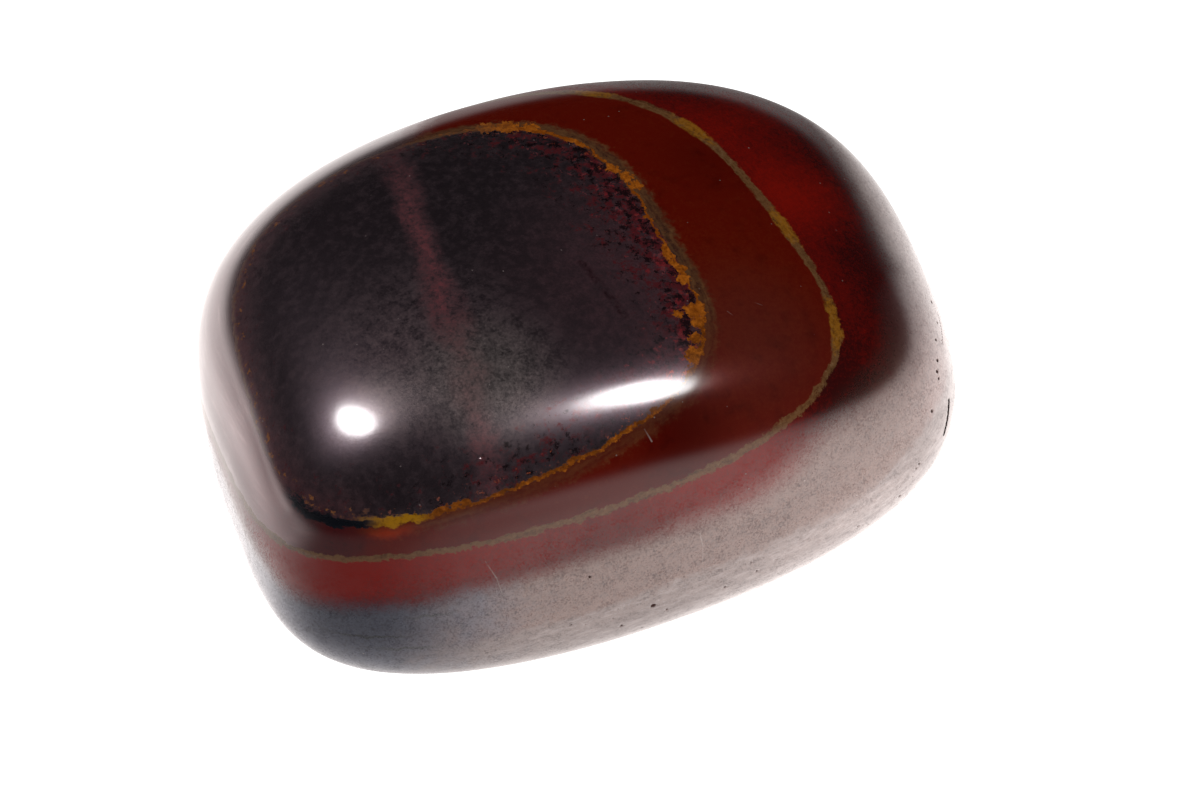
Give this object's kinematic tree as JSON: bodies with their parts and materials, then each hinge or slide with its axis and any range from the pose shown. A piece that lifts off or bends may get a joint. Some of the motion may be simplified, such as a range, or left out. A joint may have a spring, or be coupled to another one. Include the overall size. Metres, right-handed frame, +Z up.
{
  "type": "banded ironstone tumbled pebble",
  "caption": "Tumbled, polished pebble of banded ironstone, a rounded oblong block with dark iron-ore ends, red jasper rings and golden veins, resting on a small flat spot.",
  "frame": {"origin": "on the surface the pebble rests on, at the middle of its bounding box", "axes": "+Z up, out of the flat spot through the dark top cap; +X along the longest extent; -Y towards the side that the picture shows"},
  "size_m": [0.0368, 0.0262, 0.0186],
  "materials": {
    "polished_ironstone": "polished"
  },
  "bodies": {
    "root": {"banded_ironstone": "polished_ironstone"}
  },
  "joints": []
}
